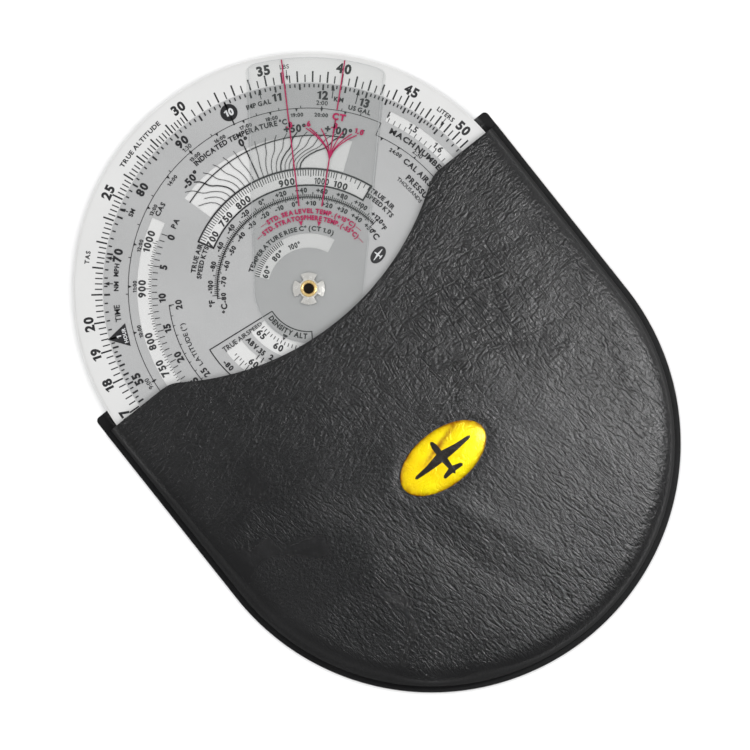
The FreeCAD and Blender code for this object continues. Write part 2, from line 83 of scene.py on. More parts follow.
HALF = panel_high.x  # half the sleeve's width, and the radius of its round end
SHOULDER = panel_high.y
BACK_TOP = back_high.y
FRONT_TOP = panel_high.z
FLANGE_LOW = panel_low.z
POCKET_FLOOR = lining_high.z
PIVOT = (eyelet_low + eyelet_high) / 2
BADGE_MIDDLE = (badge_low + badge_high) / 2
BADGE_HALF = (badge_high - badge_low) / 2

NOTCH_RADIUS = 90.1
NOTCH_FLOOR = 49.9
NOTCH_BLEND = 10.0
EAR_ROUND = 1.5
VINYL = 0.5
PADDING = 0.5
LINING = 0.25
FLANGE = 1.9  # width of the welded flange
BAND = 8.5  # width of the smooth slope inside the flange
LAYERS_START = 3.2  # how far inside the rim the foam and the lining start
FOAM_GAP = 0.03  # between the vinyl and its foam
LINING_GAP = 0.02  # between the foam and the lining
FINE, MIDDLING, COARSE = 1.1, 1.6, 3.0  # steps between the plan points of the sleeve's pieces
DOME_LIFT = 0.10  # how far the badge's dome stands over the CAD's
DOME_SINK = 0.25  # how far its rim goes into the vinyl
EMBLEM_LIFT, EMBLEM_THICK = 0.05, 0.12
FILM_GAP = 0.015  # between a printed disc and its clear film
FILM_BORE = 2.1  # radius of the hole in a film
PRINT_THICK, EDGE_THICK = 0.012, 0.006
PRINT_LIFT = 0.001  # between a face and the underside of its print
OVERPRINT = 0.013  # how much higher a print stands that lies over another

VIEW_TURN = radians(38.42)  # the picture's upright, clockwise from +Y
VIEW_UP = Vector((sin(VIEW_TURN), cos(VIEW_TURN), 0))
VIEW_RIGHT = Vector((cos(VIEW_TURN), -sin(VIEW_TURN), 0))
CALCULATOR_TURN = 14.0  # the calculator disc's 10, clockwise from +Y
BASE_TURN = 190.74  # the base disc's 10
CURSOR_TURN = 40.3


# ---- camera, floor and light


def make_camera():
    """A long lens straight above the object, turned as the object lies in the picture."""
    distance, field = 1.5, 0.2422
    low, high = (Vector(c) for c in cad_box)
    target = (low + high) / 2 + Vector((-0.0006, -0.0010, 0))
    camera = bpy.data.objects.new("camera", bpy.data.cameras.new("camera"))
    camera.data.lens = camera.data.sensor_width * distance / field
    camera.data.clip_end = 20
    camera.location = target + Vector((0, 0, distance))
    camera.rotation_euler = (0, 0, -VIEW_TURN)
    bpy.context.scene.collection.objects.link(camera)
    bpy.context.scene.camera = camera


def softbox(name, right, up, height, size, power, gloss=True, fill=True):
    """A square lamp that points at the object. right and up are in the picture, in metres.

    A lamp without gloss makes no highlight, and one without fill makes nothing else."""
    lamp = bpy.data.objects.new(name, bpy.data.lights.new(name, "AREA"))
    lamp.data.shape = "RECTANGLE"
    lamp.data.size, lamp.data.size_y = size
    lamp.data.energy = power
    lamp.visible_camera = False
    lamp.visible_glossy = gloss
    lamp.visible_diffuse = fill
    lamp.location = VIEW_RIGHT * right + VIEW_UP * up + Vector((0, 0.03, height))
    aim = Vector((0, 0.03, 0)) - lamp.location
    lamp.rotation_euler = aim.to_track_quat("-Z", "Y").to_euler()
    bpy.context.scene.collection.objects.link(lamp)


def make_studio():
    softbox("overhead", -0.10, 0.15, 2.5, (4.0, 4.0), 106, gloss=False)
    softbox("side", 0.80, 0.45, 0.60, (0.5, 0.8), 1.5)
    softbox("sheen", 0.13, 0.0, 0.17, (0.05, 0.12), 0.43, fill=False)
    softbox("left_sheen", -0.27, 0.04, 0.18, (0.05, 0.10), 0.14, fill=False)
    world = bpy.data.worlds.new("studio")
    world.use_nodes = True
    background = world.node_tree.nodes["Background"]
    background.inputs["Color"].default_value = (1, 1, 1, 1)
    background.inputs["Strength"].default_value = 0.20
    bpy.context.scene.world = world
    bpy.context.scene.view_settings.view_transform = "Standard"
    bpy.ops.mesh.primitive_plane_add(size=6)
    floor = bpy.context.object
    floor.name = "floor"
    paint = Paint("floor_white", Roughness=0.9, Specular_IOR_Level=0.2)
    paint.mottle((0.93, 0.93, 0.93), (0.95, 0.95, 0.95), 3)
    paint.give(floor)
    floor.location.z = -0.1 * MM


# ---- materials


class Paint:
    """A material, with short ways to add nodes to its tree. Sizes in it are in metres."""

    def __init__(self, name, **sockets):
        self.material = bpy.data.materials.new(name)
        self.material.use_nodes = True
        self.tree = self.material.node_tree
        self.shader = self.tree.nodes["Principled BSDF"]
        for socket, value in sockets.items():
            self.shader.inputs[socket.replace("_", " ")].default_value = value
        self.place = self.node("TexCoord").outputs["Object"]

    def node(self, kind, settings=(), *values, **sockets):
        """Adds a node. Its values are fed to its first inputs in turn, and its sockets by name."""
        made = self.tree.nodes.new("ShaderNode" + kind)
        for key, value in dict(settings).items():
            setattr(made, key, value)
        for socket, value in zip(made.inputs, values):
            self.feed(socket, value)
        for key, value in sockets.items():
            self.feed(made.inputs[key.replace("_", " ")], value)
        return made

    def feed(self, socket, value):
        if isinstance(value, bpy.types.NodeSocket):
            self.tree.links.new(value, socket)
        else:
            socket.default_value = value

    def stretched(self, turn, along, across):
        """Places for a texture whose marks run at an angle to +X, longer along it than across."""
        turned = self.node("Mapping", Vector=self.place, Rotation=(0, 0, -radians(turn)))
        scale = (1 / along, 1 / across, 1 / across)
        return self.node("Mapping", Vector=turned.outputs[0], Scale=scale).outputs[0]

    def noise(self, scale, detail=2.0, rough=0.5, bend=0.0, where=None):
        sizes = {"Scale": scale, "Detail": detail, "Roughness": rough, "Distortion": bend}
        return self.node("TexNoise", Vector=where or self.place, **sizes).outputs["Fac"]

    def cells(self, scale, where=None):
        kind = {"feature": "DISTANCE_TO_EDGE"}
        return self.node("TexVoronoi", kind, Vector=where or self.place, Scale=scale).outputs["Distance"]

    def sum(self, operation, a, b=0.0):
        return self.node("Math", {"operation": operation}, a, b).outputs[0]

    def span(self, value, low, high, to_low=0.0, to_high=1.0):
        return self.node("MapRange", (), value, low, high, to_low, to_high).outputs[0]

    def ridge(self, value, width):
        """0 where a noise crosses its middle, as along the line of a crease, and 1 away from it."""
        return self.span(self.sum("ABSOLUTE", self.sum("SUBTRACT", value, 0.5)), 0.0, width)

    def bend(self, where, scale, amount):
        """Shakes the places of a texture, so that its marks wander."""
        wander = self.node("TexNoise", Scale=scale, Vector=where).outputs["Color"]
        centred = self.node("VectorMath", {"operation": "SUBTRACT"}, wander, (0.5, 0.5, 0.5))
        scaled = self.node("VectorMath", {"operation": "SCALE"}, centred.outputs[0], Scale=amount)
        return self.node("VectorMath", {"operation": "ADD"}, where, scaled.outputs[0]).outputs[0]

    def mix(self, factor, first, second, kind="FLOAT", start=2, out=0):
        """Mixes two values. Each kind has its own inputs, from start on, and its own output."""
        made = self.node("Mix", {"data_type": kind})
        for index, value in ((0, factor), (start, first), (start + 1, second)):
            self.feed(made.inputs[index], value)
        return made.outputs[out]

    def blend(self, factor, first, second):
        """Mixes two colours."""
        return self.mix(factor, first, second, "RGBA", 6, 2)

    def attribute(self, name):
        return self.node("Attribute", {"attribute_name": name}).outputs["Fac"]

    def mottle(self, first, second, scale, detail=3.0):
        """Colours the surface with two close tones."""
        factor = self.span(self.noise(scale, detail), 0.3, 0.7)
        mixed = self.blend(factor, (*first, 1), (*second, 1))
        self.feed(self.shader.inputs["Base Color"], mixed)
        return mixed

    def uneven_gloss(self, low, high, scale):
        self.feed(self.shader.inputs["Roughness"], self.span(self.noise(scale, 3), 0.3, 0.7, low, high))

    def relief(self, height, depth, under=None):
        """Adds a height, from 0 to 1, as a bump of that many millimetres. Reliefs stack."""
        made = self.node("Bump", Height=height, Distance=depth * MM)
        if under:
            self.feed(made.inputs["Normal"], under)
        self.feed(self.shader.inputs["Normal"], made.outputs[0])
        return made.outputs[0]

    def give(self, *things):
        for thing in things:
            thing.data.materials.clear()
            thing.data.materials.append(self.material)


def vinyl_paint():
    """Black soft vinyl: grain drawn out two ways, nets of short creases, and no gloss by the weld."""
    paint = Paint("black_vinyl")
    paint.mottle((0.0065, 0.0065, 0.007), (0.0095, 0.0095, 0.010), 60)
    worn = paint.attribute("crease")
    uneven = paint.span(paint.noise(90, 3), 0.3, 0.7, 0.9, 1.1)
    gloss = paint.sum("MULTIPLY", uneven, paint.span(worn, 0.0, 0.6, 0.22, 0.33))
    by_weld = paint.span(worn, 0.06, 0.3, 1.0, 0.0)
    paint.feed(paint.shader.inputs["Roughness"], paint.sum("MAXIMUM", gloss, by_weld))
    upright = paint.attribute("upright")
    layers, creases = [], []
    for turn in (6, -84):
        streaks = paint.noise(1, 3, 0.6, 0.4, paint.stretched(turn, 0.0024, 0.0009))
        wrinkles = paint.ridge(paint.noise(1, 1, 0.5, 0.5, paint.stretched(turn + 4, 0.0080, 0.0024)), 0.08)
        layers.append((streaks, wrinkles))
        long_marks = paint.stretched(turn - 10, 0.0240, 0.0052)
        creases.append(paint.ridge(paint.noise(1, 2, 0.5, 0.8, long_marks), 0.040))
    streaks, wrinkles = (paint.mix(upright, first, second) for first, second in zip(*layers))
    shaken = paint.bend(paint.stretched(38, 0.0085, 0.0052), 0.8, 1.1)
    cells = paint.span(paint.cells(1.0, shaken), 0.0, 0.04, 0.5)
    net = paint.sum("MINIMUM", cells, paint.sum("MINIMUM", *creases))
    depth = paint.span(worn, 0.0, 1.0, 0.25, 1.0)
    grain = paint.relief(paint.noise(1000, 3, 0.7), 0.20)
    drawn = paint.relief(paint.sum("MULTIPLY", streaks, depth), 0.34, grain)
    wrinkled = paint.relief(paint.sum("MULTIPLY", wrinkles, depth), 0.08, drawn)
    paint.relief(paint.sum("MULTIPLY", net, paint.attribute("netted")), 0.15, wrinkled)
    return paint


def lining_paint():
    paint = Paint("woven_lining", Roughness=0.9, Sheen_Weight=0.3)
    paint.mottle((0.020, 0.020, 0.022), (0.035, 0.035, 0.038), 400)
    weave = [
        paint.node("TexWave", {"bands_direction": d}, Scale=900.0, Vector=paint.place).outputs["Fac"]
        for d in ("X", "Y")
    ]
    paint.relief(paint.sum("MAXIMUM", *weave), 0.06)
    return paint


def foam_paint():
    paint = Paint("grey_foam", Roughness=0.95)
    paint.mottle((0.05, 0.05, 0.052), (0.10, 0.10, 0.105), 900)
    paint.relief(paint.cells(1400), 0.1)
    return paint


def board_paint():
    paint = Paint("grey_board", Roughness=0.9)
    paint.mottle((0.30, 0.25, 0.19), (0.40, 0.34, 0.27), 300)
    paint.relief(paint.noise(1500, 4), 0.03)
    return paint


def foil_paint():
    """Glossy yellow foil, darker brown along a crease, with painted shade at its rim."""
    gloss = {"Coat_Weight": 0.10, "Coat_Roughness": 0.12, "Specular_IOR_Level": 0.2}
    paint = Paint("yellow_foil", Metallic=0.15, **gloss)
    streak_and_rim_shade = paint.attribute("streak_and_rim_shade")
    broken = paint.span(paint.noise(420, 3, 0.6), 0.36, 0.58, 0.55, 1.0)
    patches = paint.span(paint.noise(90, 2), 0.35, 0.65)
    plain_yellow = paint.blend(patches, (0.93, 0.60, 0.0, 1), (0.97, 0.84, 0.0, 1))
    # Dark brown along the streak, and painted shade at the rim.
    streaked_and_shaded = paint.blend(paint.sum("MULTIPLY", streak_and_rim_shade, broken), plain_yellow, (0.30, 0.10, 0.002, 1))
    paint.feed(paint.shader.inputs["Base Color"], streaked_and_shaded)
    paint.uneven_gloss(0.22, 0.36, 300)
    creases = paint.ridge(paint.noise(1, 2, 0.6, 1.2, paint.stretched(15, 0.007, 0.004)), 0.07)
    paint.relief(creases, 0.05, paint.relief(paint.noise(420, 2), 0.05))
    return paint


def print_paint(name, color, roughness=0.45):
    """Screen-printed ink, a little uneven."""
    paint = Paint(name)
    darker = tuple(0.82 * c for c in color)
    paint.mottle(darker, color, 900)
    paint.uneven_gloss(roughness - 0.06, roughness + 0.06, 500)
    paint.relief(paint.noise(2500, 2), 0.004)
    return paint


def sheet_plastic(name, first, second, roughness=0.42):
    """Satin sheet plastic with faint cloudiness and hairline scratches."""
    paint = Paint(name, Specular_IOR_Level=0.4)
    paint.mottle(first, second, 45, 4)
    paint.uneven_gloss(roughness - 0.05, roughness + 0.07, 160)
    scratches = paint.ridge(paint.noise(1, 1, 0.5, 0.2, paint.stretched(35, 0.030, 0.0012)), 0.012)
    paint.relief(scratches, 0.004, paint.relief(paint.noise(2200, 2), 0.004))
    return paint


def clear_paint(name, color, alpha):
    """A clear glossy sheet with faint handling marks."""
    paint = Paint(name, Base_Color=(*color, 1), Alpha=alpha, Specular_IOR_Level=0.6)
    paint.uneven_gloss(0.10, 0.19, 70)
    scratches = paint.ridge(paint.noise(1, 1, 0.5, 0.3, paint.stretched(-25, 0.040, 0.0020)), 0.010)
    paint.relief(scratches, 0.004)
    return paint


def metal_paint(name, first, second, roughness):
    """Plated metal, with faint rolling marks."""
    paint = Paint(name, Metallic=0.45)
    paint.mottle(first, second, 700)
    paint.uneven_gloss(roughness - 0.05, roughness + 0.08, 900)
    marks = paint.noise(1, 2, 0.5, 0.0, paint.stretched(50, 0.004, 0.0002))
    paint.relief(marks, 0.006)
    return paint


# ---- meshes


def new_piece(name, points, faces, body, slot, paint, smooth_angle=None):
    """Makes a piece from points in millimetres, smooth where faces meet at less than smooth_angle."""
    mesh = bpy.data.meshes.new(name)
    mesh.from_pydata([(x * MM, y * MM, z * MM) for x, y, z in points], [], faces)
    work = bmesh.new()
    work.from_mesh(mesh)
    bmesh.ops.remove_doubles(work, verts=work.verts, dist=1e-7)
    bmesh.ops.recalc_face_normals(work, faces=work.faces)
    if smooth_angle is not None:
        for face in work.faces:
            face.smooth = True
        for edge in work.edges:
            edge.smooth = edge.calc_face_angle(pi) < radians(smooth_angle)
    work.to_mesh(mesh)
    work.free()
    piece = bpy.data.objects.new(name, mesh)
    bpy.context.scene.collection.objects.link(piece)
    paint.give(piece)
    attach(piece, body)
    return piece


def shell(lines, upper, lower):
    """A closed shell over a sheet of plan points. upper and lower give its two faces' heights at a point.

    lines are rows of (x, y) points, all as long: their first points run along the rim, and the first and
    last rows along the mouth. Returns points and faces."""
    rows, columns = len(lines), len(lines[0])
    plan = [point for line in lines for point in line]
    points = [(x, y, upper(x, y)) for x, y in plan] + [(x, y, lower(x, y)) for x, y in plan]
    under = rows * columns
    faces = []
    for i in range(rows - 1):
        for j in range(columns - 1):
            a = i * columns + j
            b, c, d = a + 1, a + columns + 1, a + columns
            faces.append((a, b, c, d))
            faces.append((under + d, under + c, under + b, under + a))
        rim, after = i * columns, (i + 1) * columns
        faces.append((rim, after, under + after, under + rim))
    for start in (0, (rows - 1) * columns):
        for j in range(start, start + columns - 1):
            faces.append((j, j + 1, under + j + 1, under + j))
    return points, faces


def store(piece, name, value_at):
    """Stores a number at each of a piece's points, for its material to read. value_at takes millimetres."""
    values = [value_at(v.co.x / MM, v.co.y / MM) for v in piece.data.vertices]
    layer = piece.data.attributes.new(name, "FLOAT", "POINT")
    layer.data.foreach_set("value", values)


# ---- sleeve


def bell(distance, width):
    """1 at no distance, which dies away over that width."""
    return exp(-((distance / width) ** 2))


def clamp(value, low=0.0, high=1.0):
    return min(max(value, low), high)


def mouth(x):
    """Y of the front's mouth: level shoulders, with a round thumb notch blended into them."""
    x = abs(x)
    centre = NOTCH_FLOOR + NOTCH_RADIUS
    blend_y = SHOULDER - NOTCH_BLEND
    blend_x = sqrt((NOTCH_RADIUS + NOTCH_BLEND) ** 2 - (centre - blend_y) ** 2)
    touch_x = blend_x * NOTCH_RADIUS / (NOTCH_RADIUS + NOTCH_BLEND)
    if x < touch_x:
        return centre - sqrt(NOTCH_RADIUS**2 - x**2)
    if x < blend_x:
        return blend_y + sqrt(NOTCH_BLEND**2 - (x - blend_x) ** 2)
    return SHOULDER


def ears(x):
    """Y of the back's top edge, rounded at its two corners."""
    beyond = abs(x) - (HALF - EAR_ROUND)
    if beyond <= 0:
        return BACK_TOP
    return BACK_TOP - EAR_ROUND + sqrt(max(EAR_ROUND**2 - beyond**2, 0))


def rim_distance(x, y):
    """How far a point is from the sleeve's rim."""
    return HALF - (abs(x) if y > 0 else hypot(x, y))


def plan_lines(top, start, step):
    """Rows of plan points from the rim, or from a line inside it, to the middle of the sleeve.

    The rows come down the right side, turn round the end and go up the left side."""
    flange = [0, 0.12, 0.3, 0.55, 0.8, 1.05, 1.3, 1.6, FLANGE]
    slope = [2.2, 2.6, 3.1, 3.7, 4.5, 5.4, 6.4, 7.5, 8.6, 9.6]
    depths = [start] + [d for d in flange + slope if d > start + 0.05]
    inner = HALF - depths[-1]
    count = round(inner / step)
    depths += [HALF - inner * (1 - k / count) for k in range(1, count + 1)]
    reach = [HALF - d for d in depths]
    reach[-1] = 0.0
    up = round(SHOULDER / step)
    turns = round(pi * HALF / step)
    right = [[(r, top(r) * k / up) for r in reach] for k in range(up, 0, -1)]
    round_end = []
    for k in range(turns + 1):
        angle = -pi * k / turns
        round_end.append([(r * cos(angle), r * sin(angle)) for r in reach])
    left = [[(-r, top(r) * k / up) for r in reach] for k in range(1, up + 1)]
    return right + round_end + left


# Soft folds of the front: the two ends, how far the middle bows to the left, half width and height
FOLDS = [
    ((-27.8, 4.9), (6.1, -74.0), -3.0, 4.0, -0.28),
    ((-18.0, 2.0), (14.0, -70.0), 2.0, 3.0, 0.20),
    ((20.0, -2.0), (38.0, -52.0), 3.0, 3.5, -0.18),
    ((-66.0, 38.0), (-36.0, 44.0), 2.0, 1.6, -0.16),
    ((-68.0, 30.0), (-30.0, 33.0), 2.0, 1.8, -0.14),
    ((-62.0, 20.0), (-40.0, 24.0), 1.0, 1.6, -0.12),
    ((66.0, 20.0), (28.0, 42.0), 5.0, 1.6, -0.16),
    ((70.0, 34.0), (40.0, 50.0), 5.0, 1.8, -0.16),
    ((62.0, 4.0), (24.0, 22.0), 4.0, 2.0, -0.16),
    ((72.0, -10.0), (58.0, -40.0), 5.0, 2.4, -0.18),
    ((66.0, -6.0), (50.0, -38.0), 5.0, 1.8, 0.16),
]


def fold_height(x, y, fold):
    """Height that one soft fold adds at a point."""
    (ax, ay), (bx, by), bow, width, height = fold
    length = hypot(bx - ax, by - ay)
    ux, uy = (bx - ax) / length, (by - ay) / length
    along = ((x - ax) * ux + (y - ay) * uy) / length
    if not -0.2 < along < 1.2:
        return 0.0
    aside = (x - ax) * -uy + (y - ay) * ux - 4 * bow * along * (1 - along)
    fade = exp(-(((along - 0.5) / 0.36) ** 4))
    return height * fade * bell(aside, width)


def slope_height(distance, inset):
    """Height over the flange of a face that lies inset inside the front's outer face."""
    wide, high = BAND - inset, FRONT_TOP - FLANGE_LOW - VINYL - inset
    short = max(FLANGE + BAND - distance, 0.0)
    if short >= wide:
        return 0.0
    return high * (1 - (short / wide) ** 2.6) ** (1 / 2.2)


def puff(x, y):
    """The uneven lie of the soft front, which dies away towards the weld."""
    inside = clamp((rim_distance(x, y) - 4.0) / 14.0)
    spot = Vector((x, y, 0))
    wave = 0.30 * noise.noise(spot / 38) + 0.14 * noise.noise(spot / 13) + 0.05 * noise.noise(spot / 5)
    folds = sum(fold_height(x, y, fold) for fold in FOLDS)
    return inside * (wave + folds - 0.12)


def badge_share(x, y):
    """0 at the middle of the badge and 1 at its rim."""
    return hypot((x - BADGE_MIDDLE.x) / BADGE_HALF.x, (y - BADGE_MIDDLE.y) / BADGE_HALF.y)


def front_outer(x, y):
    """Height of the front's outer face."""
    distance = rim_distance(x, y)
    flange_top = FLANGE_LOW + VINYL
    if distance < FLANGE:
        bead = 0.22 * bell(distance - 0.95, 0.32)
        rounded = 0.18 * exp(-distance / 0.12)
        return flange_top + bead - rounded
    dent = 0.28 * bell(badge_share(x, y) - 1.02, 0.10)
    hem = 0.18 * bell(mouth(x) - y, 0.5) if y > 0 else 0.0
    return flange_top + slope_height(distance, 0.0) + puff(x, y) - dent - hem


def front_inner(inset):
    """The height of a face inset inside the front's outer face. It follows the same folds, more softly."""

    def height(x, y):
        distance = rim_distance(x, y)
        base = FLANGE_LOW if inset <= VINYL else POCKET_FLOOR
        soft = min(0.5 * puff(x, y), puff(x, y), 0.12)
        return max(base, FLANGE_LOW + VINYL + slope_height(distance, inset) + soft)

    return height


def crease_share(x, y):
    """How creased the vinyl is: smooth on the slope beside the weld, and most towards the upper right."""
    inside = clamp((rim_distance(x, y) - 2.6) / 3.5)
    spot = Vector((x, y, 7))
    by_mouth = 0.9 * bell(mouth(x) - y, 34) if y > 0 else 0.0
    towards = 0.68 + 0.0075 * x + by_mouth + 0.40 * noise.noise(spot / 24)
    return max(inside * clamp(towards, 0.22, 1.15), 0.06)


def net_share(x, y):
    """How deep the net of creases is: deepest between the badge and the mouth's right side."""
    near = bell(x - 32, 34) * bell(y - 24, 26)
    patches = 0.5 + 0.9 * noise.noise(Vector((x, y, 31)) / 16)
    return crease_share(x, y) * min(0.12 + 0.85 * near + 0.30 * max(patches - 0.4, 0.0), 1.0)


def upright_share(x, y):
    """1 where the vinyl's grain runs along the sleeve, and 0 where it runs across."""
    spot = Vector((x, y, 19))
    lean = 0.5 - (y - 6 - 0.25 * x) / 40 + 1.6 * noise.noise(spot / 22)
    return clamp(lean)


def sleeve_piece(name, lines, upper, lower, slot, paint, smooth_angle=38):
    """A closed sheet of the sleeve, between two heights over rows of plan points."""
    return new_piece(name, *shell(lines, upper, lower), "sleeve", slot, paint, smooth_angle)


def make_sleeve(vinyl, lining, foam, board):
    lines = plan_lines(mouth, 0.0, FINE)
    front = sleeve_piece("front_vinyl", lines, front_outer, front_inner(VINYL), "sleeve_vinyl", vinyl)
    store(front, "crease", crease_share)
    store(front, "upright", upright_share)
    store(front, "netted", net_share)
    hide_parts("sleeve_front_panel")

    lines = plan_lines(mouth, LAYERS_START, COARSE)
    upper, lower = front_inner(VINYL + FOAM_GAP), front_inner(VINYL + PADDING)
    pad = sleeve_piece("front_foam", lines, upper, lower, "sleeve_foam", foam)
    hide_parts("sleeve_front_padding")
    upper, lower = front_inner(VINYL + PADDING + LINING_GAP), front_inner(VINYL + PADDING + LINING)
    inner = sleeve_piece("front_lining", lines, upper, lower, "sleeve_lining", lining)
    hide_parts("sleeve_front_lining")

    def back_outer(x, y):
        return back_high.z - 0.12 * exp(-rim_distance(x, y) / 0.2)

    def back_under(x, y):
        return back_low.z + 0.14 * exp(-rim_distance(x, y) / 0.25)

    lines = plan_lines(ears, 0.0, MIDDLING)
    back = sleeve_piece("back_vinyl", lines, back_outer, back_under, "sleeve_vinyl", vinyl, 50)
    store(back, "crease", lambda x, y: 0.6 * crease_share(x, y))
    store(back, "upright", upright_share)
    store(back, "netted", lambda x, y: 0.3 * net_share(x, y))
    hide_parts("sleeve_back_panel")

    lines = plan_lines(lambda x: SHOULDER, HALF - lining_high.x, COARSE)
    upper, lower = (lambda x, y, z=z: z for z in (lining_high.z, lining_low.z))
    floor_lining = sleeve_piece("back_lining", lines, upper, lower, "sleeve_lining", lining, 50)
    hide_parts("sleeve_back_lining")
    board.give(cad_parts["sleeve_back_board"])


# ---- badge

# Right half of a plain aeroplane seen from above, nose up: shares of half its span and half its length
AEROPLANE = [
    (0.0, 1.0), (0.05, 0.93), (0.085, 0.72), (0.095, 0.34), (0.50, 0.20), (0.93, 0.13), (1.0, 0.06),
    (0.96, -0.03), (0.50, -0.10), (0.095, -0.13), (0.07, -0.55), (0.30, -0.68), (0.34, -0.78),
    (0.30, -0.86), (0.05, -0.84), (0.0, -0.95),
]  # fmt: skip


def aeroplane(middle_x, middle_y, half_span, half_length, turn=0.0):
    """The outline of a plain aeroplane, as plan points."""
    half = AEROPLANE + [(-x, y) for x, y in reversed(AEROPLANE[1:-1])]
    c, s = cos(turn), sin(turn)
    shape = [(x * half_span, y * half_length) for x, y in half]
    return [(middle_x + c * x - s * y, middle_y + s * x + c * y) for x, y in shape]


def dome(x, y):
    """Height of the badge's creased dome."""
    share = min(badge_share(x, y), 1.0)
    rise = badge_high.z - badge_low.z + DOME_LIFT + DOME_SINK
    spot = Vector((x, y, 3))
    dent = 0.10 * noise.noise(spot / 4.5) + 0.05 * noise.noise(spot / 1.8)
    return badge_low.z - DOME_SINK + rise * (1 - share**3.2) ** 0.5 + dent * (1 - share**4)


def badge_streak_and_rim_shade(x, y):
    """How dark brown the foil is: a streak along a crease above its middle, and painted shade at its rim."""
    along = (x + 5.5) / 15.5
    aside = y + 3.8 - 4.2 * along
    streak = bell(aside, 1.0) * clamp(1.6 - 2.4 * abs(along - 0.5))
    # Painted shade: the foil darkens towards the rim, where the dome curves down.
    rim = min(badge_share(x, y), 1.0) ** 10
    return min(streak + 1.1 * rim, 1.0)


def make_badge(foil, ink):
    middle, half = BADGE_MIDDLE, BADGE_HALF
    rings, around = 26, 120
    points = [(middle.x, middle.y, dome(middle.x, middle.y))]
    for k in range(1, rings + 1):
        share = sin(pi / 2 * k / rings)
        for i in range(around):
            angle = 2 * pi * i / around
            x = middle.x + half.x * share * cos(angle)
            y = middle.y + half.y * share * sin(angle)
            points.append((x, y, dome(x, y)))
    points += [(x, y, badge_low.z - 0.4) for x, y, _ in points[-around:]]
    faces = [(0, 1 + i, 1 + (i + 1) % around) for i in range(around)]
    for k in range(rings):
        first, second = 1 + k * around, 1 + (k + 1) * around
        for i in range(around):
            j = (i + 1) % around
            faces.append((first + i, second + i, second + j, first + j))
    faces.append(tuple(range(len(points) - around, len(points)))[::-1])
    badge = new_piece("badge_dome", points, faces, "sleeve", "badge_foil", foil, 60)
    # The foil's dark streak, and painted shade at its rim.
    store(badge, "streak_and_rim_shade", badge_streak_and_rim_shade)
    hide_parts("badge")

    outline = aeroplane(middle.x, middle.y, 0.70 * half.x, 0.74 * half.y)
    work = bmesh.new()
    work.faces.new([work.verts.new((x, y, 0)) for x, y in outline])
    bmesh.ops.triangulate(work, faces=work.faces)
    for _ in range(3):
        long_edges = [edge for edge in work.edges if edge.calc_length() > 0.7]
        bmesh.ops.subdivide_edges(work, edges=long_edges, cuts=1)
        bmesh.ops.triangulate(work, faces=work.faces)
    top = [(v.co.x, v.co.y, dome(v.co.x, v.co.y) + EMBLEM_LIFT) for v in work.verts]
    work.verts.index_update()
    sheet_faces = [tuple(v.index for v in f.verts) for f in work.faces]
    edge_loop = [tuple(v.index for v in e.verts) for e in work.edges if e.is_boundary]
    work.free()
    count = len(top)
    points = top + [(x, y, z - EMBLEM_THICK) for x, y, z in top]
    faces = sheet_faces + [tuple(count + i for i in reversed(f)) for f in sheet_faces]
    faces += [(a, b, count + b, count + a) for a, b in edge_loop]
    emblem = new_piece("badge_aeroplane", points, faces, "sleeve", "badge_print", ink, 50)
    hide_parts("badge_emblem")


# ---- printing


CAPITAL = 0.682  # height of a capital in the built-in letters, and of a figure, at size 1
STEM = 0.10  # width of their upright strokes
SPACE, LETTER_GAP = 0.20, 0.085  # width of a space, and of the gap between letters
glyphs = {}


def glyph(letter, bold):
    """One letter as plan points and faces from its left edge, at size 1, and its width."""
    if (letter, bold) in glyphs:
        return glyphs[letter, bold]
    if letter == "1":
        wide = STEM + 2 * bold
        flag = [(0.35 * wide, CAPITAL), (-0.17, 0.56), (-0.12, 0.46), (0, 0.53)]
        points = [(0, 0), (wide, 0), (wide, CAPITAL)] + flag
        faces = [tuple(range(len(points)))]
    else:
        curve = bpy.data.curves.new("letter", "FONT")
        curve.body, curve.resolution_u, curve.offset = letter, 3, bold
        holder = bpy.data.objects.new("letter", curve)
        mesh = bpy.data.meshes.new_from_object(holder)
        points = [(v.co.x, v.co.y) for v in mesh.vertices]
        faces = [tuple(p.vertices) for p in mesh.polygons]
        bpy.data.objects.remove(holder)
        bpy.data.curves.remove(curve)
        bpy.data.meshes.remove(mesh)
    left, right = min(x for x, _ in points), max(x for x, _ in points)
    glyphs[letter, bold] = [(x - left, y) for x, y in points], faces, right - left
    return glyphs[letter, bold]


def letter_mesh(text, height, bold):
    """Some text as flat faces centred on the origin, with capitals of that height, and its width."""
    points, faces, pen = [], [], 0.0
    for letter in text:
        if letter == " ":
            pen += SPACE
            continue
        shape, parts, wide = glyph(letter, bold)
        faces += [tuple(len(points) + i for i in part) for part in parts]
        points += [(pen + x, y) for x, y in shape]
        pen += wide + LETTER_GAP
    pen -= LETTER_GAP
    scale = height / CAPITAL
    return [((x - pen / 2) * scale, (y - CAPITAL / 2) * scale) for x, y in points], faces, pen * scale


LIGHT, MEDIUM, BOLD = 0.014, 0.038, 0.049  # how much a letter's strokes are widened on each side, at size 1


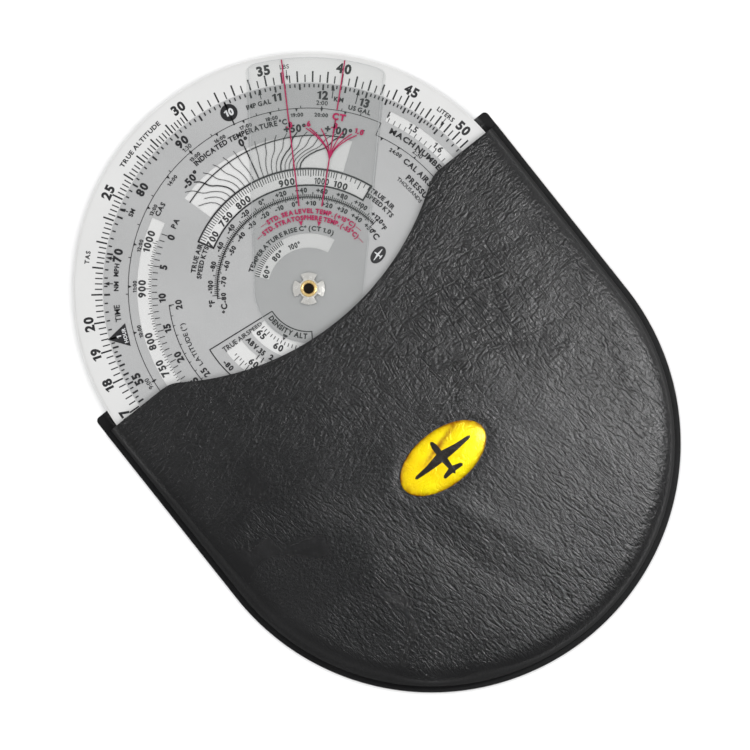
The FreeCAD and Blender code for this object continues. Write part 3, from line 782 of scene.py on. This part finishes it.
class Print:
    """Flat printed marks about the pivot, joined in one piece.

    A mark's angle is clockwise from the dial's zero, which is itself turned clockwise from +Y. A print on a
    face that looks down reads clockwise from below."""

    def __init__(self, name, turn, height, down=False, thick=PRINT_THICK):
        self.name, self.turn, self.height, self.down, self.thick = name, turn, height, down, thick
        self.points, self.faces = [], []

    def spot(self, angle, radius):
        """A plan point, at an angle on the dial and a radius."""
        clockwise = radians(-angle if self.down else angle) + radians(self.turn)
        return (PIVOT.x + radius * sin(clockwise), PIVOT.y + radius * cos(clockwise))

    def add(self, plan, faces):
        first = len(self.points)
        self.points += plan
        self.faces += [tuple(first + i for i in face) for face in faces]

    def tick(self, angle, inner, outer, width=0.22):
        half = degrees(width / 2)
        corners = [(angle - half / r, r) for r in (inner, outer)]
        corners += [(angle + half / r, r) for r in (outer, inner)]
        self.add([self.spot(*corner) for corner in corners], [(0, 1, 2, 3)])

    def ticks(self, counts, start, step, ends, width, every=1, long_ends=None):
        """Marks at start + step * count, with other ends at every so many counts."""
        for k in counts:
            self.tick(start + step * k, *(long_ends if long_ends and k % every == 0 else ends), width)

    def arc(self, radius, first, last, width=0.25, end_radius=None):
        """A line round the dial, which may spiral to another radius."""
        count = max(2, ceil(abs(last - first) / 2))
        drift = (end_radius or radius) - radius
        plan = []
        for k in range(count + 1):
            angle, middle = first + (last - first) * k / count, radius + drift * k / count
            plan += [self.spot(angle, middle - width / 2), self.spot(angle, middle + width / 2)]
        self.add(plan, [(2 * k, 2 * k + 1, 2 * k + 3, 2 * k + 2) for k in range(count)])

    def path(self, spots, width=0.22):
        """A line through some (angle, radius) spots."""
        for (a, r), (b, q) in zip(spots, spots[1:]):
            start, end = Vector(self.spot(a, r)), Vector(self.spot(b, q))
            side = (end - start).orthogonal().normalized() * width / 2
            corners = (start - side, start + side, end + side, end - side)
            self.add([tuple(corner) for corner in corners], [(0, 1, 2, 3)])

    def wedge(self, angle, apex, base, half_width):
        """A triangle that points along a radius."""
        half = degrees(half_width / base)
        corners = ((angle, apex), (angle - half, base), (angle + half, base))
        self.add([self.spot(*corner) for corner in corners], [(0, 1, 2)])

    def spotted(self, angle, radius, half_wide, half_high, tilt=0.0):
        """A filled oval."""
        x, y = self.spot(angle, radius)
        c, s = cos(tilt), sin(tilt)
        count = 28
        turns = [2 * pi * k / count for k in range(count)]
        oval = [(half_wide * cos(t), half_high * sin(t)) for t in turns]
        self.add([(x + c * a - s * b, y + s * a + c * b) for a, b in oval], [tuple(range(count))])

    def text(self, text, angle, radius, height, bold=MEDIUM, stance="out", span=None):
        """Text on an arc: its letters stand out or in, or the line runs in towards the pivot.

        span is the angle it fills, if not its letters' own."""
        plan, faces, natural = letter_mesh(text, height, bold)
        wide = radians(span) * radius / natural if span else 1.0
        placed = []
        for x, y in plan:
            x *= wide
            if stance == "out":
                placed.append(self.spot(angle + degrees(x / radius), radius + y))
            elif stance == "in":
                placed.append(self.spot(angle - degrees(x / radius), radius - y))
            else:
                placed.append(self.spot(angle + degrees(y / radius), radius - x))
        self.add(placed, faces)

    def words(self, *texts):
        """Texts, each with its own place and size."""
        for text in texts:
            self.text(*text)

    def row(self, words, start, step, radius, height, bold=BOLD, stance="out", span=None):
        """Texts along an arc, a step apart."""
        for k, word in enumerate(words):
            self.text(f"{word}", start + step * k, radius, height, bold, stance, span)

    def log_ring(self, steps, inner, minor, major, width=0.2):
        """Marks of a scale that holds one decade in a turn. steps are (from, to, mark, long mark)."""
        for low, high, step, long_step in steps:
            for k in range(round((high - low) / step)):
                value = low + k * step
                is_long = abs(value / long_step - round(value / long_step)) < 1e-6
                outer, share = (major, 1.35) if is_long else (minor, 1)
                self.tick(decade(value), inner, outer, width * share)

    def numbers(self, values, radius, height, bold=BOLD):
        for value in values:
            self.text(f"{value:g}", decade(value), radius, height, bold)

    def pointer(self, angle, tip, shoulder, tail=None, half_width=0.5):
        """An arrow head between two radii, and its stem out to a third."""
        self.wedge(angle, tip, shoulder, half_width)
        if tail:
            self.tick(angle, min(shoulder, tail), max(shoulder, tail), 0.26)

    def finish(self, body, slot, paint):
        count = len(self.points)
        sign = -1 if self.down else 1
        top = [(x, y, self.height + sign * self.thick) for x, y in self.points]
        under = [(x, y, self.height + sign * PRINT_LIFT) for x, y in self.points]
        sides = {}
        for face in self.faces:
            for a, b in zip(face, face[1:] + face[:1]):
                sides[(a, b)] = (b, a) not in sides and sides.get((a, b), True)
                if (b, a) in sides:
                    sides[(b, a)] = sides[(a, b)] = False
        faces = self.faces + [tuple(count + i for i in reversed(f)) for f in self.faces]
        faces += [(a, count + a, count + b, b) for (a, b), outer in sides.items() if outer]
        return new_piece(self.name, top + under, faces, body, slot, paint)


def decade(value):
    """The angle of a value on a scale with one decade in a turn."""
    return 360 * log10(value / 10)


OUTER_STEPS = [(10, 15, 0.1, 0.5), (15, 30, 0.2, 1), (30, 60, 0.5, 1), (60, 100, 1, 5)]
DIAL_NUMBERS = [11, 12, 13, 14, 15, 16, 17, 18, 19, 20, 25, 30, 35, 40, 45, 50, 55, 70, 80, 90]


def top_of(node):
    return corner_mm(node)[1].z


def base_print(ink):
    """The base disc's outer scale, and the rings that show through the calculator disc's windows."""
    marks = Print("base_print", BASE_TURN, top_of("base_disc_front"))
    marks.log_ring(OUTER_STEPS, 66.7, 69.1, 70.3, 0.40)
    marks.numbers([10, *DIAL_NUMBERS, 60], 71.9, 2.85)
    marks.finish("computer_base", "base_plastic", ink)
    rings = Print("base_ring_print", CALCULATOR_TURN, top_of("base_disc_front"))
    rings.text("TAS", -57.6, 72.2, 1.4)
    rings.text("TRUE ALTITUDE", -25.1, 72.2, 1.4, MEDIUM, "out", 15.0)
    rings.text("LBS", 18.1, 72.1, 1.35, LIGHT)
    rings.pointer(18.5, 67.5, 69.1, 71.0, 0.5)
    rings.text("LITERS", 62.6, 71.6, 1.4, MEDIUM, "out", 5.2)
    rings.pointer(63.3, 67.5, 69.1, 70.6, 0.5)
    air_speed_rings(rings)
    other_rings(rings)
    rings.finish("computer_base", "base_plastic", ink)


def air_speed_rings(marks):
    """The rings under the calculator disc's two air speed windows: a long one and an even one."""
    eight_hundred = -84.1
    for value in range(400, 1010, 5):
        outer = (52.6 if value % 50 == 0 else 52.0) if value % 10 == 0 else 51.7
        marks.tick(eight_hundred + decade(value / 80), 50.7, outer, 0.24)
    for value in (400, 450, 500, 550, 600, 650, 700, 750, 800, 900, 1000):
        marks.text(f"{value}", eight_hundred + decade(value / 80), 53.9, 2.2, BOLD)
    thousand, step = 38.2, 0.2555
    marks.ticks(range(120), thousand, -5 * step, (36.5, 38.6), 0.28, 10, (36.1, 38.6))
    marks.ticks(range(1, 60), thousand, 2.44, (37.0, 38.6), 0.28, 5, (35.7, 38.6))
    for value in (550, 600, 650, 700, 750, 800, 900):
        marks.text(f"{value}", thousand + (value - 1000) * step, 35.0, 2.0, BOLD)
    marks.text("1000", thousand - 7.0, 34.9, 1.95, MEDIUM, "out", 7.9)
    marks.row(range(100, 160, 10), thousand + 3.2, 24.4, 34.9, 2.0)


def other_rings(marks):
    """The rings under the small windows: rise of temperature, density, altitude and Mach number."""
    marks.ticks(range(21), -52.0, 2.3, (16.3, 17.9), 0.32)
    marks.row(("60°", "80°", "100°"), -44.5, 25.0, 14.6, 1.65, BOLD, "out", 15.5)
    marks.ticks(range(48), -105.9, -3.72, (18.8, 20.0), 0.3)
    marks.row(range(65, 15, -5), -109.6, -18.5, 21.3, 1.95, BOLD, "in")
    marks.ticks(range(90), -107.7, -2.0, (31.3, 33.5), 0.28, 2, (31.3, 32.2))
    marks.row(range(60, 10, -5), -119.1, -18.0, 30.0, 1.9, BOLD, "in")
    marks.ticks(range(40), 46.0, 1.9, (59.1, 60.9), 0.26)
    marks.row(("1.4", "1.5", "1.6", "1.7", "1.8", "1.9", "2.0"), 47.9, 9.5, 61.8, 1.9, MEDIUM)


def calculator_print(ink, light):
    """Everything printed on the grey disc."""
    top = top_of("calculator_cover")
    marks = Print("calculator_print", CALCULATOR_TURN, top)
    over = Print("calculator_light_print", CALCULATOR_TURN, top + OVERPRINT)
    marks.log_ring(OUTER_STEPS, 66.1, 65.0, 64.2, 0.44)
    marks.numbers(DIAL_NUMBERS[:3] + DIAL_NUMBERS[7:], 62.6, 2.5)
    marks.spotted(0, 62.4, 2.8, 2.8)
    marks.tick(0, 58.0, 66.0, 0.45)
    over.text("10", 0, 62.4, 2.1, BOLD)
    marks.wedge(decade(60), 67.0, 60.4, 3.8)
    over.text("1", decade(60), 63.2, 1.5, BOLD)
    over.text("HOUR", decade(60), 61.3, 1.1, MEDIUM)
    for word, angle, radius in (
        ("NM", -64.9, 62.2), ("MPH", -60.1, 62.4), ("SM", -42.4, 62.2), ("IMP GAL", 9.2, 61.7),
        ("KM", 33.4, 61.8), ("US GAL", 40.3, 60.0),
    ):  # fmt: skip
        marks.text(word, angle, radius, 1.4)
    marks.text("TIME", decade(62.7), 62.3, 1.8, LIGHT)
    tails = ((-64.2, 63.2), (-56.9, 64.0), (-42.6, 63.4), (10.3, 63.0), (31.4, 61.9), (38.6, 61.5))
    for angle, tail in tails:
        marks.pointer(angle, 66.3, 64.4, tail, 0.6)
    hour_ring(marks)
    altitude_scales(marks)
    temperature_scales(marks)
    lower_box(marks)
    tilt = radians(14)
    marks.spotted(88.5, 24.9, 3.15, 2.05, tilt)
    outline = aeroplane(*over.spot(88.5, 24.9), 2.3, 1.5, tilt)
    over.add(outline, [tuple(range(len(outline)))])
    marks.finish("calculator_disc", "calculator_plastic", ink)
    over.finish("calculator_disc", "calculator_plastic", light)


def hour_ring(marks):
    """Hours of the day inside the minutes, on a thin line that steps inwards once."""
    outer, inner, step_at, back_at = 58.3, 54.1, 48.0, 250.0
    marks.arc(outer, back_at, 360 + step_at, 0.2)
    marks.tick(step_at, inner - 0.1, outer + 0.1, 0.2)
    marks.arc(inner, step_at, back_at, 0.2)
    marks.tick(back_at, inner - 0.1, outer + 0.1, 0.2)
    for hour in range(9, 25):
        line = outer if hour < 21.5 else inner
        marks.wedge(decade(6 * hour), line - 1.1, line + 0.1, 0.5)
        if 9 < hour < 21 or hour == 24:
            marks.text(f"{hour}:00", decade(6 * hour), line - 2.1, 1.15)
    minutes = {54: "9:00", 90: "1:30", 12: "2:00", 15: "2:30", 18: "3:00", 24: "4:00", 30: "5:00"}
    minutes |= {36: "6:00", 42: "7:00", 48: "8:00"}
    for value, word in minutes.items():
        line = outer if value in (54, 90, 12) else inner
        marks.text(word, decade(value), line + 1.8, 1.4, LIGHT)
        marks.wedge(decade(value), line + 0.9, line - 0.1, 0.4)
    for value in (65, 70, 75, 80, 85, 95, 10.5, 11, 11.5, 12.5, 13):
        marks.tick(decade(value), outer, outer + 0.8, 0.24)


def altitude_scales(marks):
    """Pressure altitude under the air speed window, the latitude arc, and the words beside the windows."""
    marks.ticks(range(26), -45.2, -2.42, (49.0, 50.7), 0.24, 5, (48.7, 50.7))
    marks.row(range(0, 30, 5), -45.2, -12.05, 47.4, 2.1)
    marks.words(("PA", -39.6, 48.0, 1.6), ("CAS", -37.5, 54.4, 1.5))
    marks.tick(-72.4, 43.9, 45.5, 0.25)
    marks.arc(45.4, -106.6, -72.4, 0.25)
    marks.ticks(range(9), -105.6, 4.1, (44.7, 45.4), 0.2)
    marks.words(
        ("LATITUDE (°)", -91.0, 42.5, 1.4, LIGHT, "out", 20),
        ("20", -72.6, 42.3, 1.9),
        ("25", -104.6, 43.0, 1.9),
        ("MACH NUMBER", 62.9, 57.4, 1.7, MEDIUM, "out", 22.5),
        ("CAL AIRSPEED", 71.0, 51.7, 1.7),
        ("PRESSURE", 73.0, 48.1, 1.7),
        ("THOUSANDS", 70.0, 45.7, 1.2, LIGHT),
    )


def temperature_scales(marks):
    """The temperature window's curves, the true air speed window's frame, and the two degree scales."""
    marks.text("INDICATED TEMPERATURE °C", -0.6, 54.4, 1.6, MEDIUM, "out", 35.0)
    for word, angle in (("-50°", -22.9), ("0°", 0.4), ("+50°", 19.4), ("+100°", 35.0)):
        marks.text(word, angle, 51.9, 2.2, BOLD)
    marks.arc(47.4, -29.8, 37.6, 0.36, 50.0)
    window_curves(marks)
    first, last = -42.6, 55.9
    for radius in (38.75, 33.4):
        marks.arc(radius, first, last, 0.52)
    for angle in (first, last):
        marks.tick(angle, 33.15, 39.0, 0.52)
    for angle, turn in ((-50.4, 0.9), (63.8, 1.0)):
        marks.text("TRUE AIR", angle, 37.7, 1.4)
        marks.text("SPEED KTS", angle + turn * (-1.6 if angle < 0 else 1.2), 35.6, 1.4)
    marks.arc(29.6, -72.2, 69.7, 0.30)
    fahrenheit, celsius = 0.605, 1.085  # degrees on the dial for each degree of temperature
    marks.ticks(range(-110, 121, 2), -3.4, fahrenheit, (29.5, 30.5), 0.27, 10, (29.5, 31.2))
    marks.ticks(range(-80, 51), 15.0, celsius, (29.7, 29.0), 0.27, 5, (29.7, 28.6))
    for values, zero, degree, radius in (
        (range(-100, 121, 20), -4.2, fahrenheit, 31.8),
        (range(-80, 51, 10), 15.0, celsius, 27.6),
    ):
        for value in values:
            marks.text(f"{value:+d}" if value else "0°", zero + degree * value, radius, 1.4, BOLD)
    marks.words(
        ("°F", 74.9, 31.2, 1.5), ("°C", 75.4, 27.5, 1.8), ("°F", -74.4, 31.6, 1.7), ("°C", -78.8, 27.9, 1.8)
    )  # fmt: skip
    marks.text("TEMPERATURE RISE C° (CT 1.0)", -0.6, 19.5, 1.4, MEDIUM, "out", 98.5)


# How a curve of the temperature window leans: how far in from its outer end (0) to its inner end (1), and how
# much of its lean is left there
LEAN = [
    (-0.14, 1.3), (0.0, 1.08), (0.08, 1.0), (0.2, 0.93), (0.3, 0.85), (0.37, 0.75), (0.46, 0.55),
    (0.58, 0.34), (0.7, 0.17), (0.84, 0.05), (1.0, 0.0),
]  # fmt: skip


def window_curves(marks):
    """A family of curves, ten degrees of temperature apart and heavier at every fifty, from -80 to +100."""
    outer, inner = 49.2, 39.0
    for k in range(-8, 11):
        foot = 2.44 * k - 0.042 * k**2
        lean = 1.43 * k - 0.008 * k**2
        spots = [(foot + lean * left, outer - (outer - inner) * down) for down, left in LEAN]
        if k == -7:
            spots = spots[6:]
        spots = [(angle, radius) for angle, radius in spots if angle > -29.6]
        marks.path(spots, 0.40 if k % 5 == 0 else 0.21)


def lower_box(marks):
    """The outlined box about the two small windows at the lower left."""
    marks.arc(37.6, -125, -97.6, 0.35)
    marks.tick(-97.3, 14.0, 37.75, 0.35)
    marks.arc(13.9, -159.6, -97.0, 0.35)
    marks.tick(-159.6, 13.75, 16.4, 0.35)
    marks.text("DENSITY ALT", -127.8, 15.4, 1.55, BOLD, "in", 52)
    marks.wedge(-129.1, 18.7, 16.7, 0.9)
    marks.text("ABV.35", -113.0, 25.5, 1.6, BOLD, "in", 17)
    marks.text("2", -127, 25.3, 1.6, BOLD, "in")
    for angle in (-122.6, -118.9):
        marks.tick(angle, 26.6, 28.5, 0.3)
    marks.text("TRUE AIRSPEED", -101.6, 26.5, 1.45, LIGHT, "inward")
    marks.text("-80", -109.3, 35.9, 1.6, BOLD, "in")


def cursor_print(ink, edge):
    """Red hairlines and curves on the clear cursor, and a painted highlight along its cut edge."""
    top = top_of("cursor")
    marks = Print("cursor_print", CURSOR_TURN, top)
    left, right = -8.7, 7.1
    marks.tick(left, 26.8, 74.4, 0.40)
    marks.tick(left - 0.35, 66.8, 70.5, 0.26)
    for inner, outer in ((26.8, 55.2), (58.3, 74.6)):
        marks.tick(right, inner, outer, 0.40)
    for spread in (-10.0, -8.6, -4.6, 3.4, 6.6, 8.4):
        spots = [(right + spread * (k / 8) ** 1.5, 42.6 + 9.2 * k / 8) for k in range(9)]
        marks.path(spots, 0.36)
    for word, angle in ((".6", -2.3), (".8", left), (".8", right), ("1.0", 15.9)):
        marks.text(word, angle, 53.2, 1.6, BOLD)
    marks.text("CT", 8.1, 56.2, 2.0, BOLD)
    for word, angle, radius, span, dashes in (
        ("STD. SEA LEVEL TEMP. (+15°C)", 0.2, 25.1, 69, 4.8),
        ("STD. STRATOSPHERE TEMP. (-55°C)", -0.1, 22.9, 84, 5.2),
    ):
        marks.text(word, angle, radius, 1.4, BOLD, "out", span)
        for side in (-1, 1):
            start = angle + side * (span / 2 + 0.8)
            marks.arc(radius, min(start, start + side * dashes), max(start, start + side * dashes), 0.16)
    for angle in (left, right):
        marks.wedge(angle, 20.3, 21.9, 0.7)
    marks.finish("cursor", "cursor_plastic", ink)
    foot = Print("cursor_fan_foot", CURSOR_TURN, top + OVERPRINT)
    foot.wedge(right, 41.8, 44.8, 1.05)
    foot.finish("cursor", "cursor_plastic", ink)
    cursor_edge(top, edge)


def cursor_edge(top, paint):
    """A thin pale line just inside the cursor's outline: a painted highlight where its cut edge catches the
    light.
    """
    hub, tip, half, inset = 17.7, 74.7, 22.8, 0.12
    tip_y = sqrt(tip**2 - half**2)
    lean = degrees(atan2(half, tip_y))
    touch = 90 - degrees(pi / 2 - radians(lean) - acos(hub / hypot(half, tip_y)))
    marks = Print("cursor_edge_highlight", CURSOR_TURN, top, thick=EDGE_THICK)
    corner = degrees(3.2 / tip)
    marks.arc(tip - inset, -lean + corner, lean - corner, 0.14)
    marks.arc(hub - inset, touch, 360 - touch, 0.14)
    for side in (-1, 1):
        bend = (side * (lean - 0.45), tip - 1.0)
        marks.path([(side * touch, hub - inset), (side * lean * 0.995, tip - 3.4)], 0.14)
        marks.path([(side * lean * 0.995, tip - 3.4), bend, (side * (lean - corner), tip - inset)], 0.14)
    marks.finish("cursor", "cursor_plastic", paint)


def wind_prints(ink):
    """The other side: the base's speed scale, the wind disc's compass ring and the inner disc's grid."""
    base = Print("base_back_print", 0, corner_mm("base_disc_back")[0].z, True)
    base.log_ring(OUTER_STEPS, 66.9, 69.2, 70.4, 0.32)
    base.numbers([10, *DIAL_NUMBERS, 60], 72.2, 2.7)
    base.finish("computer_base", "base_plastic", ink)
    ring = Print("wind_disc_print", 0, corner_mm("wind_disc_cover")[0].z, True)
    for k in range(360):
        ring.tick(k, 66.0, 63.2 if k % 10 == 0 else 64.2 if k % 5 == 0 else 64.9, 0.2)
    for k in range(36):
        word = {0: "N", 9: "E", 18: "S", 27: "W"}.get(k, f"{10 * k}")
        ring.text(word, 10 * k, 61.2, 3.0 if k % 9 == 0 else 2.1)
    ring.arc(58.6, 0, 360, 0.25)
    ring.ticks(range(180), 0, 2, (58.6, 57.3), 0.18, 5, (58.6, 56.4))
    ring.row([abs(5 * k) for k in range(-9, 10)], -90, 10, 54.4, 1.7, MEDIUM)
    ring.row([abs(10 * k) for k in range(-4, 5)], 108, 18, 51.0, 1.7, MEDIUM)
    ring.finish("wind_disc", "wind_plastic", ink)
    grid = Print("wind_index_print", 0, corner_mm("wind_index_disc")[0].z, True)
    for radius in range(8, 45, 4):
        grid.arc(radius, 0, 360, 0.25 if radius % 20 == 0 else 0.14)
    for k in range(36):
        grid.tick(10 * k, 8.0, 46.0, 0.25 if k % 9 == 0 else 0.14)
    for k in range(1, 5):
        grid.text(f"{20 * k}", 3.5, 8 * k + 4.0, 1.5)
    grid.wedge(0, 46.6, 43.0, 1.6)
    grid.finish("wind_index", "index_plastic", ink)


# ---- the whole


def make_films(paint):
    """The clear films on the two printed discs. Each stands a hair off its disc, so that both faces show."""
    for node, body, slot, gaps in (
        ("calculator_cover", "calculator_disc", "clear_film", (FILM_GAP, 0.0)),
        ("wind_disc_cover", "wind_disc", "clear_film", (0.0, FILM_GAP)),
    ):
        low, high = corner_mm(node)
        around = 240
        turns = [2 * pi * k / around for k in range(around)]
        points = []
        for radius in (high.x - PIVOT.x, FILM_BORE):
            for z in (low.z + gaps[0], high.z - gaps[1]):
                points += [(PIVOT.x + radius * cos(t), PIVOT.y + radius * sin(t), z) for t in turns]
        faces = []
        for k in range(around):
            j = (k + 1) % around
            for a, b in ((0, 1), (1, 3), (3, 2), (2, 0)):
                faces.append((a * around + k, a * around + j, b * around + j, b * around + k))
        film = new_piece(node.replace("cover", "film"), points, faces, body, slot, paint, 40)
        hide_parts(node)


def dress_frame():
    """Gives the CAD pieces that stay their finishes."""
    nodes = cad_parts
    for name, first, second, *discs in (
        ("base_white", (0.625, 0.625, 0.62), (0.665, 0.665, 0.66), "base_disc_front", "base_disc_back"),
        ("dial_grey", (0.385, 0.387, 0.388), (0.42, 0.422, 0.424), "calculator_disc"),
        ("wind_white", (0.62, 0.63, 0.64), (0.68, 0.69, 0.70), "wind_disc"),
        ("index_green", (0.40, 0.55, 0.47), (0.44, 0.59, 0.51), "wind_index_disc"),
    ):
        sheet_plastic(name, first, second).give(*(nodes[disc] for disc in discs))
    clear_paint("clear_cursor", (0.30, 0.34, 0.32), 0.05).give(nodes["cursor"])
    metal_paint("polished_brass", (0.78, 0.55, 0.22), (0.85, 0.64, 0.30), 0.24).give(nodes["eyelet"])
    metal_paint("bright_nickel", (0.62, 0.61, 0.58), (0.72, 0.71, 0.68), 0.24).give(
        nodes["spring_washer_front"], nodes["spring_washer_back"]
    )


make_camera()
make_studio()
dress_frame()
make_films(clear_paint("clear_film", (0.6, 0.62, 0.62), 0.02))
make_sleeve(vinyl_paint(), lining_paint(), foam_paint(), board_paint())
make_badge(foil_paint(), print_paint("badge_ink", (0.015, 0.012, 0.010), 0.25))
black = print_paint("black_ink", (0.016, 0.016, 0.018))
base_print(black)
calculator_print(black, print_paint("pale_ink", (0.62, 0.63, 0.64)))
crimson = print_paint("crimson_ink", (0.38, 0.003, 0.075))
# The pale edge line is a painted highlight, not ink.
cursor_print(crimson, print_paint("edge_shine", (0.50, 0.51, 0.52), 0.2))
wind_prints(black)
